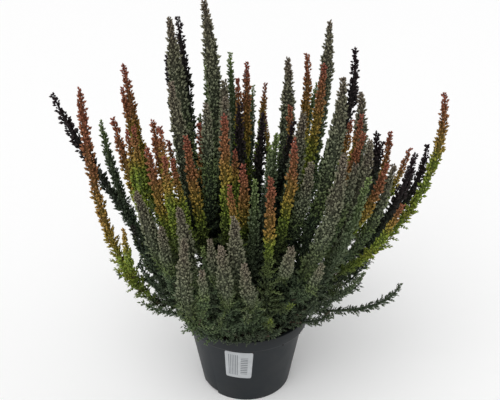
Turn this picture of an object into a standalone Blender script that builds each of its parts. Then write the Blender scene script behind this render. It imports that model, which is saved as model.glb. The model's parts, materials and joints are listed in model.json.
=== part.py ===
"""A potted heather: a black nursery pot of peat, planted with four kinds of bud-flowering heather.

The origin is at the middle of the pot's underside, on the pot's axis, with +Z up and the
front, where the label is, towards -Y. Lengths in the named values are millimetres.
"""
import math
import random

import bmesh
import bpy
import numpy as np
from mathutils import Matrix, Vector

MM = 0.001
GAP = 0.3

# The pot: a 13 cm nursery pot, pressed in thin black plastic.
POT_HEIGHT = 86.0
RIM_RADIUS = 65.0
LIP_RADIUS = 61.6
LIP_THICKNESS = 1.8
BAND_HEIGHT = 13.5
BAND_STEP = 4.4
BAND_FLARE = 1.2
BASE_RADIUS = 46.4
WALL = 1.2
FLOOR = 1.6
EDGE = 0.7
FOOT_RING = 6.0
BOSS_RADIUS = 14.0
UNDERSIDE_RECESS = 2.4
DRAIN_COUNT = 6
DRAIN_RADIUS = 4.0
DRAIN_SIDES = 8
DRAIN_CIRCLE = 27.0
NOTCH_COUNT = 2
NOTCH_ANGLE = 216.0
NOTCH_WIDTH = 24.0
NOTCH_HEIGHT = 3.6
NOTCH_DEPTH = 4.0
TURN_STEPS = 36
STEP_HEIGHT = POT_HEIGHT - BAND_HEIGHT
BAND_RADIUS = RIM_RADIUS - BAND_FLARE

# The peat and the stems' holes in it.
SOIL_TOP = 76.0
HOLE_RADIUS = 2.3
HOLE_DEPTH = 12.0
HOLE_SIDES = 5

# The label: a plain sticker on the front of the wall.
LABEL_WIDTH = 27.0
LABEL_HEIGHT = 35.5
LABEL_TOP = 69.5
LABEL_THICKNESS = 0.4
LABEL_CORNER = 2.5
LABEL_SIDE = -7.5
LABEL_TILT = 2.5
LABEL_COLUMNS = 8

# Where the stems stand. Their feet are round the middle of the peat, and kept apart.
FOOT_RADIUS = 1.4
FOOT_RISE = 5.0
FOOT_LENGTH = HOLE_DEPTH + FOOT_RISE - GAP
FOOT_CIRCLE = 51.0
FOOT_SPACING = 13.6
TIP_CIRCLE = 170.0
FEET_DRAWN_IN = 0.75
FEET_ROUNDS = 600

# How a stem or a branch grows. Lengths along it are in steps.
STEP = 7.0
LEADER_BEND = (0.65, 0.4)
BRANCH_ROOT = 0.42
BRANCH_RADIUS = 1.05
BRANCH_BEND = (0.65, 0.3)

# How the stems make room for each other and for the rim.
CLEARANCE = 1.3
ROUNDS = 120
PUSH = 0.3
NEAR = 30.0
KIN_LENGTH = 35.0
HELD_POINTS = 2
SMOOTHING = 0.25
RIM_ZONE = (LIP_RADIUS - 6.0, RIM_RADIUS + 14.0)

# How the leaves are set. They stand out less at the foot and near the tip.
SIDES = 4
BARE_STEM = 5.0
BARE_BRANCH = 8.0
LOW_REACH = 0.6
LOW_LENGTH = 60.0
TIP_REACH = 0.4
TIP_LENGTH = 45.0
TIP_POWER = 0.7
TIP_RADIUS = 0.45
LEAF_FORWARD = 0.7
LEAF_VARIATION = 0.12
LOW_PITCH_STEM = 3.0
LOW_PITCH_BRANCH = 1.6
FULL_PITCH_AT = 0.74
LAST_GAP = 0.45

# Each kind: how far its leaf tips reach from the stem, the stem's core, and the leaf spacing.
KINDS = {
    "grey": {"reach": 7.4, "core": 2.7, "pitch": 12.0, "colour": (0.085, 0.095, 0.075)},
    "ember": {"reach": 5.2, "core": 1.9, "pitch": 11.1, "colour": (0.180, 0.075, 0.020)},
    "dark": {"reach": 5.8, "core": 2.1, "pitch": 11.5, "colour": (0.020, 0.017, 0.020)},
    "green": {"reach": 5.4, "core": 1.9, "pitch": 12.3, "colour": (0.035, 0.075, 0.022)},
}

# The stems of each kind. A stem is a list of tips: its leader's, then its side branches'.
# Two more values are where the leader bends, where it isn't as LEADER_BEND says: how far out
# and how far up the way to its tip.
STEMS = {
    "grey": [
        [(-67, 10, 377)],
        [(-60, -55, 335), (-33, -50, 316)],
        [(-35, -5, 393, 0.5, 0.75), (-19, -15, 326), (-15, -30, 317)],
        [(39, 25, 338, 1.2, 0.5)],
        [(80, 60, 365, 1.05, 0.55), (67, 130, 279), (108, 120, 273), (60, 100, 130)],
        [(49, -45, 307), (50, -80, 275), (36, -115, 216)],
        [(79, -60, 340, 1.0, 0.6)],
        [(106, 10, 310, 1.2, 0.3)],
        [(79, -95, 288, 0.9, 0.45), (92, -80, 271), (65, -95, 190)],
        [(108, -60, 286, 1.0, 0.5), (128, -45, 259), (88, -62, 150)],
        [(-89, -85, 250), (-70, -95, 224), (-60, -85, 150), (-62, -70, 125), (-100, -40, 118)],
        [(-53, -100, 244), (-50, -95, 130)],
        [(-46, -115, 223, 1.2, 0.4), (-39, -120, 197)],
        [(-9, -115, 242), (5, -105, 150)],
        [(-19, -120, 221), (-26, -105, 214), (-20, -100, 140)],
        [(-4, -118, 200)],
        [(-79, 100, 314), (-69, 135, 245), (-52, 100, 120)],
        [(2, 135, 274), (22, 108, 125)],
    ],
    "ember": [
        [(-135, -55, 330, 1.0, 0.08), (-106, -75, 211), (-113, -60, 177), (-95, -45, 125)],
        [(-113, -40, 300, 0.6, 0.15), (-100, -50, 292), (-91, -70, 303), (-100, -20, 150), (-105, -30, 181)],
        [(-110, 10, 334, 0.75, 0.25), (-109, -10, 319), (-122, 70, 286), (-125, 80, 180)],
        [(-76, -60, 304, 0.7, 0.25), (-69, -75, 304), (-87, -10, 198)],
        [(-77, -80, 289), (-64, -90, 285)],
        [(-48, -70, 294), (-61, -75, 276)],
        [(-41, -20, 289), (-69, -25, 275), (-44, 5, 157)],
        [(-16, -75, 313), (-10, -60, 277)],
        [(1, 35, 331), (-7, 20, 320), (19, 50, 308), (-11, 120, 268)],
        [(-1, -80, 273), (-12, -95, 261)],
        [(43, -75, 294, 1.1, 0.7), (40, -98, 150)],
        [(21, -100, 270), (22, -100, 135)],
        [(58, 40, 338, 1.2, 0.65), (85, 110, 297), (20, 110, 260)],
        [(71, 10, 335, 0.85, 0.4), (39, -10, 301)],
        [(99, -55, 293), (102, -25, 298), (91, -45, 298)],
        [(137, 10, 272, 1.0, 0.45), (153, 0, 258), (117, 85, 265)],
        [(115, -65, 269), (134, -70, 233)],
        [(180, 0, 312, 1.14, 0.42)],
    ],
    "dark": [
        [(-171, -10, 313, 0.8, 0.66), (-85, 10, 145), (-91, -35, 137)],
        [(-63, 45, 371, 0.65, 0.7), (-77, 60, 333)],
        [(-8, -20, 307)],
        [(16, 0, 292), (41, -20, 292)],
        [(102, 35, 344, 1.15, 0.7)],
        [(119, -15, 279, 1.05, 0.45), (121, -30, 276), (98, -45, 130)],
        [(149, -40, 268, 0.8, 0.4), (112, -25, 150), (106, -50, 142)],
        [(174, 15, 256, 1.0, 0.5), (176, 60, 212), (105, 15, 130)],
        [(-101, -60, 207), (-85, -60, 150), (-99, -45, 163)],
    ],
    "green": [
        [(-36, 70, 303), (-49, 35, 282), (-32, 40, 175)],
        [(-16, 75, 333), (7, 95, 294)],
        [(8, -85, 263), (21, -65, 284)],
        [(27, -45, 289), (31, -15, 275)],
        [(75, 90, 298), (48, 120, 278), (77, 150, 149)],
        [(97, -90, 267), (104, -80, 172), (62, -88, 150), (80, -68, 120)],
        [(-37, -90, 202), (-59, -60, 107), (-31, -85, 115), (-32, -95, 165)],
        [(148, -40, 136, 0.93, 0.24), (66, -57, 101)],
        [(-43, 115, 311), (-69, 150, 145), (4, 155, 152), (-22, 105, 125)],
        [
            (-138, 20, 280, 0.85, 0.25), (-110, 105, 208), (-114, 115, 126), (-111, 20, 126),
            (-85, 70, 130), (-119, -45, 152),
        ],
        [(142, 80, 212), (124, 115, 135), (134, 30, 120), (85, 75, 125)],
        [(12, -88, 110), (-22, -82, 100), (0, -85, 105), (29, -85, 115)],
    ],
}


def clear_scene():
    for item in list(bpy.data.objects):
        bpy.data.objects.remove(item)


def new_collection(name):
    collection = bpy.data.collections.new(name)
    bpy.context.scene.collection.children.link(collection)
    return collection


def new_material(name, colour, roughness):
    material = bpy.data.materials.new(name)
    material.use_nodes = True
    shader = material.node_tree.nodes["Principled BSDF"]
    shader.inputs["Base Color"].default_value = (*colour, 1.0)
    shader.inputs["Roughness"].default_value = roughness
    return material


def plain_mesh(item):
    """Return the object's evaluated mesh, with every modifier and curve bevel applied."""
    bpy.context.view_layer.update()
    depsgraph = bpy.context.evaluated_depsgraph_get()
    return bpy.data.meshes.new_from_object(item.evaluated_get(depsgraph))


def turned(name, profile, collection):
    """Turn a closed profile of (radius, height) corners about the pot's axis."""
    mesh = bpy.data.meshes.new(name)
    shape = bmesh.new()
    corners = [shape.verts.new((r * MM, 0.0, z * MM)) for r, z in profile]
    for here, after in zip(corners, corners[1:] + corners[:1]):
        if here.co.x > 0.0 or after.co.x > 0.0:
            shape.edges.new((here, after))
    shape.to_mesh(mesh)
    shape.free()
    item = bpy.data.objects.new(name, mesh)
    collection.objects.link(item)
    screw = item.modifiers.new("turn", "SCREW")
    screw.axis = "Z"
    screw.steps = TURN_STEPS
    screw.render_steps = TURN_STEPS
    screw.use_merge_vertices = True
    screw.merge_threshold = 0.00001
    screw.use_normal_calculate = True
    return item


def cut(item, name, cutter):
    boolean = item.modifiers.new(name, "BOOLEAN")
    boolean.operation = "DIFFERENCE"
    boolean.object = cutter
    cutter.hide_render = True
    cutter.display_type = "WIRE"


def wall_radius(z):
    """Outer radius of the pot's tapered wall, below the band."""
    return BASE_RADIUS + (BAND_RADIUS - BAND_STEP - BASE_RADIUS) * z / STEP_HEIGHT


def inner_profile(clear):
    """Corners of the pot's inside, from the floor's edge up to the band, moved in by clear."""
    return [
        (BASE_RADIUS - WALL - clear, UNDERSIDE_RECESS + FLOOR + clear),
        (wall_radius(STEP_HEIGHT) - WALL - clear, STEP_HEIGHT + clear),
        (BAND_RADIUS - WALL - clear, STEP_HEIGHT + WALL + clear),
    ]


def make_pot(parts, cutters):
    """The pot: a thin tapered wall, a stepped-out band with a lip, and a floor with holes."""
    foot = BASE_RADIUS - FOOT_RING
    profile = [
        (0.0, 0.0),
        (BOSS_RADIUS, 0.0),
        (BOSS_RADIUS + EDGE, UNDERSIDE_RECESS),
        (foot - EDGE, UNDERSIDE_RECESS),
        (foot, 0.0),
        (BASE_RADIUS - EDGE, 0.0),
        (wall_radius(EDGE), EDGE),
        (wall_radius(STEP_HEIGHT), STEP_HEIGHT),
        (BAND_RADIUS - EDGE / 2.0, STEP_HEIGHT),
        (BAND_RADIUS, STEP_HEIGHT + EDGE / 2.0),
        (RIM_RADIUS, POT_HEIGHT - EDGE),
        (RIM_RADIUS - EDGE, POT_HEIGHT),
        (LIP_RADIUS + EDGE / 2.0, POT_HEIGHT),
        (LIP_RADIUS, POT_HEIGHT - EDGE / 2.0),
        (LIP_RADIUS, POT_HEIGHT - LIP_THICKNESS),
        (RIM_RADIUS - EDGE - WALL, POT_HEIGHT - LIP_THICKNESS - EDGE),
    ]
    profile += inner_profile(0.0)[::-1]
    profile.append((0.0, UNDERSIDE_RECESS + FLOOR))
    pot = turned("pot", profile, parts)

    drains = bpy.data.objects.new("drain_cutter", bpy.data.meshes.new("drain_cutter"))
    cutters.objects.link(drains)
    shape = bmesh.new()
    for index in range(DRAIN_COUNT):
        angle = math.tau * index / DRAIN_COUNT
        place = Matrix.Translation(
            (DRAIN_CIRCLE * MM * math.cos(angle), DRAIN_CIRCLE * MM * math.sin(angle), 0.0)
        )
        bmesh.ops.create_cone(
            shape, cap_ends=True, segments=DRAIN_SIDES, radius1=DRAIN_RADIUS * MM,
            radius2=DRAIN_RADIUS * MM, depth=4.0 * (FLOOR + UNDERSIDE_RECESS) * MM, matrix=place,
        )
    for index in range(NOTCH_COUNT):
        angle = math.radians(NOTCH_ANGLE) + math.tau * index / NOTCH_COUNT
        turn = Matrix.Rotation(angle, 4, "Z")
        place = turn @ Matrix.Translation((BASE_RADIUS * MM, 0.0, 0.0))
        size = Vector((2.0 * NOTCH_DEPTH, NOTCH_WIDTH, 2.0 * NOTCH_HEIGHT)) * MM
        bmesh.ops.create_cube(shape, size=1.0, matrix=place @ Matrix.Diagonal((*size, 1.0)))
    shape.to_mesh(drains.data)
    shape.free()
    cut(pot, "drains", drains)
    pot.data.materials.append(new_material("black pot plastic", (0.062, 0.066, 0.075), 0.5))
    return pot


def make_peat(parts, cutters, feet):
    """The peat: it fills the pot to just below the lip and has a plain hole for each stem."""
    base, waist, shoulder = inner_profile(GAP)
    profile = [(0.0, base[1]), base, waist, shoulder, (shoulder[0], SOIL_TOP), (0.0, SOIL_TOP)]
    peat = turned("peat", profile, parts)
    holes = bpy.data.objects.new("hole_cutter", bpy.data.meshes.new("hole_cutter"))
    cutters.objects.link(holes)
    shape = bmesh.new()
    for x, y in feet:
        place = Matrix.Translation((x * MM, y * MM, SOIL_TOP * MM))
        bmesh.ops.create_cone(
            shape, cap_ends=True, segments=HOLE_SIDES, radius1=HOLE_RADIUS * MM,
            radius2=HOLE_RADIUS * MM, depth=2.0 * HOLE_DEPTH * MM, matrix=place,
        )
    shape.to_mesh(holes.data)
    shape.free()
    cut(peat, "stem holes", holes)
    peat.data.materials.append(new_material("peat", (0.022, 0.015, 0.010), 0.95))
    return peat


def make_label(parts):
    """The label: a thin sticker with round corners, bent to the cone of the wall."""
    mesh = bpy.data.meshes.new("label")
    shape = bmesh.new()
    bmesh.ops.create_grid(shape, x_segments=LABEL_COLUMNS, y_segments=1, size=0.5)
    for vertex in shape.verts:
        vertex.co.x *= LABEL_WIDTH
        vertex.co.y *= LABEL_HEIGHT
    corners = [v for v in shape.verts if len(v.link_edges) == 2]
    bmesh.ops.bevel(
        shape, geom=corners, offset=LABEL_CORNER, segments=3, profile=0.5, affect="VERTICES"
    )
    tilt = math.radians(LABEL_TILT)
    middle = LABEL_TOP - LABEL_HEIGHT / 2.0
    for vertex in shape.verts:
        across = vertex.co.x * math.cos(tilt) + vertex.co.y * math.sin(tilt)
        height = middle + vertex.co.y * math.cos(tilt) - vertex.co.x * math.sin(tilt)
        radius = wall_radius(height) + GAP
        angle = math.radians(LABEL_SIDE) + across / wall_radius(middle)
        vertex.co = (radius * MM * math.sin(angle), -radius * MM * math.cos(angle), height * MM)
    shape.to_mesh(mesh)
    shape.free()
    label = bpy.data.objects.new("label", mesh)
    parts.objects.link(label)
    solid = label.modifiers.new("thickness", "SOLIDIFY")
    solid.thickness = LABEL_THICKNESS * MM
    solid.offset = 1.0
    label.data.materials.append(new_material("label paper", (0.60, 0.61, 0.62), 0.55))
    return label


def bend(start, tip, place, straight=0.0):
    """A curve from start to tip. It bends at a place this far out and this far up the way."""
    start = np.array(start, float)
    tip = np.array(tip, float)
    out, up = place
    knee = start + (tip - start) * np.array([out, out, up])
    t = np.linspace(0.0, 1.0, 61)[:, None]
    curve = evenly((1 - t) ** 2 * start + 2 * t * (1 - t) * knee + t ** 2 * tip, STEP)
    if straight:
        curve = np.vstack([start - np.array([0.0, 0.0, straight]), curve])
    return curve


def lengths(path):
    steps = np.sqrt(((path[1:] - path[:-1]) ** 2).sum(axis=1))
    return np.concatenate([[0.0], np.cumsum(steps)])


def at_lengths(path, wanted):
    along = lengths(path)
    return np.stack([np.interp(wanted, along, path[:, axis]) for axis in range(3)], axis=1)


def evenly(path, step):
    total = lengths(path)[-1]
    count = max(4, int(round(total / step)) + 1)
    return at_lengths(path, np.linspace(0.0, total, count))


def leaf_reach(kind, along, total, bare):
    """How far the leaf tips stand from the stem's middle, along a stem or a branch."""
    low = np.clip((along - bare) / LOW_LENGTH, 0.0, 1.0)
    top = np.clip((total - along) / TIP_LENGTH, 0.0, 1.0) ** TIP_POWER
    share = (LOW_REACH + (1.0 - LOW_REACH) * low) * (TIP_REACH + (1.0 - TIP_REACH) * top)
    return np.where(along >= bare, KINDS[kind]["reach"] * share, 0.0)


def place_feet(tips):
    """Feet lie under their tips, drawn in towards the middle and kept apart in the peat."""
    tips = np.array([tip[:2] for tip in tips], float)
    far = np.sqrt((tips ** 2).sum(axis=1))
    feet = tips / far[:, None] * (FOOT_CIRCLE * (far / TIP_CIRCLE) ** FEET_DRAWN_IN)[:, None]
    for _ in range(FEET_ROUNDS):
        apart = feet[:, None, :] - feet[None, :, :]
        distance = np.sqrt((apart ** 2).sum(axis=2)) + np.eye(len(feet)) * 1000.0
        push = np.clip(FOOT_SPACING - distance, 0.0, None) / distance * PUSH
        feet = feet + (apart * push[:, :, None]).sum(axis=1)
        out = np.sqrt((feet ** 2).sum(axis=1))
        feet = feet * np.minimum(1.0, FOOT_CIRCLE / out)[:, None]
    return feet


def lay_out():
    """Give every stem and branch its path, before they make room for each other."""
    names = []
    for kind, stems in STEMS.items():
        for number, tips in enumerate(stems, 1):
            names.append((f"stem_{kind}_{number:02d}", kind, tips))
    feet = place_feet([tips[0] for _, _, tips in names])
    shoots = []
    ground = SOIL_TOP + FOOT_RISE
    for number, (name, kind, tips) in enumerate(names):
        x, y = feet[number]
        tip = tips[0][:3]
        path = bend((x, y, ground), tip, tips[0][3:] or LEADER_BEND, FOOT_LENGTH)
        leader = len(shoots)
        shoots.append({"name": name, "kind": kind, "path": path, "parent": None, "root": 0})
        for tip in tips[1:]:
            height = ground + BRANCH_ROOT * (tip[2] - ground)
            root = int(np.argmin(np.abs(path[:, 2] - height)))
            root = max(4, min(root, len(path) - 5))
            branch = bend(path[root], tip, BRANCH_BEND)
            shoots.append(
                {"name": name, "kind": kind, "path": branch, "parent": leader, "root": root}
            )
    for shoot in shoots:
        along = lengths(shoot["path"])
        bare = FOOT_LENGTH + BARE_STEM if shoot["parent"] is None else BARE_BRANCH
        shoot["bare"] = bare
        reach = leaf_reach(shoot["kind"], along, along[-1], bare) * (1 + LEAF_VARIATION)
        shoot["reach"] = np.maximum(reach, FOOT_RADIUS)
    return shoots, feet


def make_room(shoots):
    """Bend the stems clear of each other and of the pot's rim, with their feet held still."""
    start = np.cumsum([0] + [len(s["path"]) for s in shoots])
    points = np.concatenate([s["path"] for s in shoots])
    grown = points.copy()
    reach = np.concatenate([s["reach"] for s in shoots])
    owner = np.concatenate([np.full(len(s["path"]), i) for i, s in enumerate(shoots)])
    family = np.array([i if s["parent"] is None else s["parent"] for i, s in enumerate(shoots)])
    order = np.concatenate([np.arange(len(s["path"])) for s in shoots])
    branch = np.array([s["parent"] is not None for s in shoots])[owner]
    young = branch & (order * STEP < KIN_LENGTH)
    one, two = None, None
    for turn in range(ROUNDS):
        if turn % 10 == 0:
            apart = [points[:, None, axis] - points[None, :, axis] for axis in range(3)]
            near = apart[0] ** 2 + apart[1] ** 2 + apart[2] ** 2 < NEAR ** 2
            near &= owner[:, None] < owner[None, :]
            kin = family[owner][:, None] == family[owner][None, :]
            near &= ~(kin & (young[:, None] | young[None, :]))
            one, two = np.nonzero(near)
        apart = points[one] - points[two]
        distance = np.sqrt((apart ** 2).sum(axis=1)) + 0.001
        lacking = np.clip(reach[one] + reach[two] + CLEARANCE - distance, 0.0, None)
        push = apart * (PUSH * lacking / distance)[:, None]
        move = np.zeros_like(points)
        for axis in range(3):
            move[:, axis] += np.bincount(one, push[:, axis], len(points))
            move[:, axis] -= np.bincount(two, push[:, axis], len(points))
        shift = points + move - grown
        for number, shoot in enumerate(shoots):
            first, last = start[number], start[number + 1]
            own = shift[first:last].copy()
            if shoot["parent"] is None:
                own[:HELD_POINTS] = 0.0
            else:
                own[0] = shift[start[shoot["parent"]] + shoot["root"]]
            smooth = own.copy()
            smooth[1:-1] += SMOOTHING * (own[:-2] - 2.0 * own[1:-1] + own[2:])
            smooth[-1] += SMOOTHING * (own[-2] - own[-1])
            if shoot["parent"] is None:
                smooth[:HELD_POINTS] = 0.0
            shift[first:last] = smooth
        points = grown + shift
        out = np.sqrt((points[:, :2] ** 2).sum(axis=1))
        floor = np.where(out < RIM_ZONE[0], SOIL_TOP, POT_HEIGHT) + reach + CLEARANCE
        held = (order < HELD_POINTS) & ~branch
        low = (out < RIM_ZONE[1]) & ~held
        points[:, 2] = np.where(low, np.maximum(points[:, 2], floor), points[:, 2])
    for number, shoot in enumerate(shoots):
        shoot["path"] = points[start[number]:start[number + 1]].copy()
    for shoot in shoots:
        if shoot["parent"] is not None:
            shoot["path"][0] = shoots[shoot["parent"]]["path"][shoot["root"]]


def leaf_rings(shoot):
    """Where the pairs of leaves sit along a shoot: wide apart low down, closer near the tip."""
    path = shoot["path"]
    total = lengths(path)[-1]
    pitch = KINDS[shoot["kind"]]["pitch"]
    low = LOW_PITCH_STEM if shoot["parent"] is None else LOW_PITCH_BRANCH
    rings = [0.0, shoot["bare"]]
    while True:
        share = min(1.0, rings[-1] / total / FULL_PITCH_AT)
        rings.append(rings[-1] + pitch * (low + (1.0 - low) * share))
        if rings[-1] > total - LAST_GAP * pitch:
            break
    rings[-1] = total
    if shoot["parent"] is None:
        rings.insert(1, FOOT_LENGTH)
    return rings


def leafy_shoot(shoot, chance, collection):
    """One shoot: a slim four-sided stem whose corners are drawn out in turn to leaf tips.

    At each joint two opposite corners become leaves, and at the next joint the other two,
    as on a real heather, where the pairs of scale leaves cross.
    """
    kind = KINDS[shoot["kind"]]
    rings = leaf_rings(shoot)
    path = shoot["path"]
    total = lengths(path)[-1]
    middle = at_lengths(path, np.array(rings))
    reach = leaf_reach(shoot["kind"], np.array(rings), total, shoot["bare"] + 0.1)
    slim = FOOT_RADIUS if shoot["parent"] is None else BRANCH_RADIUS
    core = np.maximum(reach * kind["core"] / kind["reach"], slim)
    core[-1] = TIP_RADIUS
    curve = bpy.data.curves.new(shoot["name"], "CURVE")
    curve.dimensions = "3D"
    curve.bevel_depth = MM
    curve.bevel_resolution = 0
    curve.use_fill_caps = True
    spline = curve.splines.new("POLY")
    spline.points.add(len(rings) - 1)
    for point, place, radius in zip(spline.points, middle, core):
        point.co = (*(place * MM), 1.0)
        point.radius = radius
    tube = bpy.data.objects.new(shoot["name"], curve)
    collection.objects.link(tube)
    mesh = plain_mesh(tube)
    bpy.data.objects.remove(tube)
    bpy.data.curves.remove(curve)

    caps = len(mesh.vertices) - SIDES * len(rings)
    for ring in range(2, len(rings) - 1):
        if reach[ring] == 0.0:
            continue
        centre = Vector(middle[ring] * MM)
        forward = Vector(middle[ring + 1] - middle[ring - 1]).normalized()
        ahead = LEAF_FORWARD * (rings[ring + 1] - rings[ring])
        for corner in range(SIDES):
            if (ring + corner) % 2:
                continue
            vertex = mesh.vertices[caps + ring * SIDES + corner]
            outward = (vertex.co - centre).normalized()
            grown = reach[ring] * (1.0 + chance.uniform(-LEAF_VARIATION, LEAF_VARIATION))
            vertex.co = centre + outward * grown * MM + forward * ahead * MM
    shape = bmesh.new()
    shape.from_mesh(mesh)
    bmesh.ops.remove_doubles(shape, verts=shape.verts, dist=0.00001)
    bmesh.ops.triangulate(shape, faces=shape.faces, quad_method="SHORT_EDGE")
    bmesh.ops.recalc_face_normals(shape, faces=shape.faces)
    shape.to_mesh(mesh)
    shape.free()
    item = bpy.data.objects.new(shoot["name"], mesh)
    collection.objects.link(item)
    return item


def fuse(leader, branches):
    """Join a stem's side branches to it in one solid."""
    boolean = leader.modifiers.new("side branches", "BOOLEAN")
    boolean.operation = "UNION"
    boolean.operand_type = "COLLECTION"
    boolean.collection = branches
    boolean.solver = "MANIFOLD"
    mesh = plain_mesh(leader)
    leader.modifiers.remove(boolean)
    leader.data = mesh
    for item in list(branches.objects):
        bpy.data.objects.remove(item)


def make_stems(parts, shoots):
    materials = {}
    for kind, look in KINDS.items():
        materials[kind] = new_material(f"{kind} heather", look["colour"], 0.75)
    branches = new_collection("side branches")
    chance = random.Random(13)
    stems = [s for s in shoots if s["parent"] is None]
    for stem in stems:
        number = shoots.index(stem)
        leader = leafy_shoot(stem, chance, parts)
        own = [s for s in shoots if s["parent"] == number]
        for shoot in own:
            leafy_shoot(shoot, chance, branches)
        if own:
            fuse(leader, branches)
        leader.name = stem["name"]
        leader.data.name = stem["name"]
        leader.data.materials.clear()
        leader.data.materials.append(materials[stem["kind"]])
    bpy.data.collections.remove(branches)


def smooth_round(item):
    item.data.shade_smooth()
    item.data.set_sharp_from_angle(angle=math.radians(35.0))


def main():
    clear_scene()
    parts = new_collection("potted heather")
    cutters = new_collection("cutters")
    shoots, feet = lay_out()
    make_room(shoots)
    smooth_round(make_pot(parts, cutters))
    make_peat(parts, cutters, feet)
    make_label(parts)
    make_stems(parts, shoots)


main()
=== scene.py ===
"""A potted heather: its looks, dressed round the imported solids.

Everything is in the solids' own frame: the origin is at the middle of the pot's underside, +Z
is up, and the label is on the side towards -Y. Sizes in capitals are millimetres, but metres
in the studio, and angles are radians.
"""

import json
import math
import random

import bmesh
import bpy
import numpy as np
from mathutils import Matrix, Vector, noise

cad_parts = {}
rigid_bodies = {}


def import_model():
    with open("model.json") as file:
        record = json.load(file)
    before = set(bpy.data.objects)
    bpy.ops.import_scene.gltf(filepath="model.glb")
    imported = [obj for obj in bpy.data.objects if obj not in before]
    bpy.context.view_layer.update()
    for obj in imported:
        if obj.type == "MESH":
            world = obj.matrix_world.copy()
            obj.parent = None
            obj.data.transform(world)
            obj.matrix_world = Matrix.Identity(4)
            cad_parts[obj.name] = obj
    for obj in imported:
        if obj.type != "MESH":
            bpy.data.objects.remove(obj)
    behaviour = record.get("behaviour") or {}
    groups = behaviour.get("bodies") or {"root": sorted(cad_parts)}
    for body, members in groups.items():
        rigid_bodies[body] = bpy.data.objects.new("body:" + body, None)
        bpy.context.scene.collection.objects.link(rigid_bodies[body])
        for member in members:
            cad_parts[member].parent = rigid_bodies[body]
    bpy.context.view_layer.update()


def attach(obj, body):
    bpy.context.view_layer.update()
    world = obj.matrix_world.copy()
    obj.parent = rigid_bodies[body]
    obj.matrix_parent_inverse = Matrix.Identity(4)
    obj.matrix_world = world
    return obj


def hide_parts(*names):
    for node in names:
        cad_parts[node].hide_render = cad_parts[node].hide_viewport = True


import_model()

# The pot. A nursery pot pressed from thin black polypropylene: a tapered wall, a stepped-out
# band with a rolled lip for stacking, and a floor with drainage holes. The foot ring has
# notches that let the water out.
MM = 0.001
POT_HEIGHT = 86.0
RIM_RADIUS = 65.0
LIP_RADIUS = 61.6
LIP_THICKNESS = 1.8
BAND_HEIGHT = 13.5
BAND_STEP = 4.4
BAND_FLARE = 1.2
BASE_RADIUS = 46.4
WALL = 1.2
FLOOR = 1.6
FOOT_RING = 6.0
BOSS_RADIUS = 14.0
UNDERSIDE_RECESS = 2.4
EDGE_ROUND = 0.5
STEP_ROUND = 1.6
DRAIN_COUNT = 6
DRAIN_RADIUS = 4.0
DRAIN_CIRCLE = 27.0
NOTCH_COUNT = 2
NOTCH_ANGLE = math.radians(216.0)
NOTCH_WIDTH = 24.0
NOTCH_HEIGHT = 3.6
NOTCH_DEPTH = 4.0
TURN_STEPS = 144
DRAIN_SIDES = 24
BAND_UNDERCUT = 1.0
SHARP_ANGLE = math.radians(40.0)
MERGED_WITHIN = 0.005
STEP_HEIGHT = POT_HEIGHT - BAND_HEIGHT
BAND_RADIUS = RIM_RADIUS - BAND_FLARE


def linear(hex_colour):
    """Turn an sRGB hex colour into the linear values that a shader takes."""
    channels = [int(hex_colour[i:i + 2], 16) / 255.0 for i in (1, 3, 5)]
    channels = [c / 12.92 if c <= 0.04045 else ((c + 0.055) / 1.055) ** 2.4 for c in channels]
    return (*channels, 1.0)


def per_metre(size):
    """A pattern's scale, from the size of its patches in millimetres."""
    return 1.0 / (size * MM)


def set_inputs(tree, node, inputs):
    """Set a node's inputs to plain values, outputs, nodes, or lists of nodes to be joined.

    A node stands for its first open output.
    """
    for name, given in inputs.items():
        for value in given if isinstance(given, list) else [given]:
            if isinstance(value, bpy.types.Node):
                value = next(output for output in value.outputs if output.enabled)
            if isinstance(value, bpy.types.NodeSocket):
                tree.links.new(value, node.inputs[name])
            else:
                node.inputs[name].default_value = value


def add_node(tree, kind, inputs=None, stops=None, **settings):
    """Add a node with its settings, its inputs and a colour ramp's stops."""
    node = tree.nodes.new(kind)
    for name, value in settings.items():
        setattr(node, name, value)
    set_inputs(tree, node, inputs or {})
    for number, (place, hex_colour) in enumerate(stops or []):
        elements = node.color_ramp.elements
        element = elements[number] if number < 2 else elements.new(place)
        element.position = place
        element.color = linear(hex_colour)
    return node


def new_material(name):
    """A new material with its Principled shader, to be built on."""
    material = bpy.data.materials.new(name)
    material.use_nodes = True
    return material, material.node_tree, material.node_tree.nodes["Principled BSDF"]


def mesh_of(name, shape):
    """The finished mesh of a shape that was built up point by point."""
    mesh = bpy.data.meshes.new(name)
    shape.to_mesh(mesh)
    shape.free()
    return mesh


def in_scene(name, data):
    """A new object with this mesh, lamp or camera, in the scene."""
    item = bpy.data.objects.new(name, data)
    bpy.context.scene.collection.objects.link(item)
    return item


def new_piece(name, mesh, material, slot, *replaced):
    """Put a finished mesh in the scene as a piece of the one rigid body."""
    piece = in_scene(name, mesh)
    if not mesh.materials:
        mesh.materials.append(material)
    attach(piece, "root")
    if replaced:
        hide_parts(*replaced)


def rounded(corners):
    """Round off a profile's corners, each with a three-point arc of its own radius."""
    points = []
    for number, (corner, radius) in enumerate(corners):
        here = Vector(corner)
        if radius == 0.0:
            points.append(here)
            continue
        before = (Vector(corners[number - 1][0]) - here).normalized()
        after = (Vector(corners[(number + 1) % len(corners)][0]) - here).normalized()
        start = here + before * radius
        end = here + after * radius
        points += [start, (start + end + 2.0 * here) / 4.0, end]
    return points


def place_of(part):
    """Where a point or a face lies, rounded to a micrometre."""
    middle = part.calc_center_median() if isinstance(part, bmesh.types.BMFace) else part.co
    return tuple(round(value, 6) for value in middle)


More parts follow.
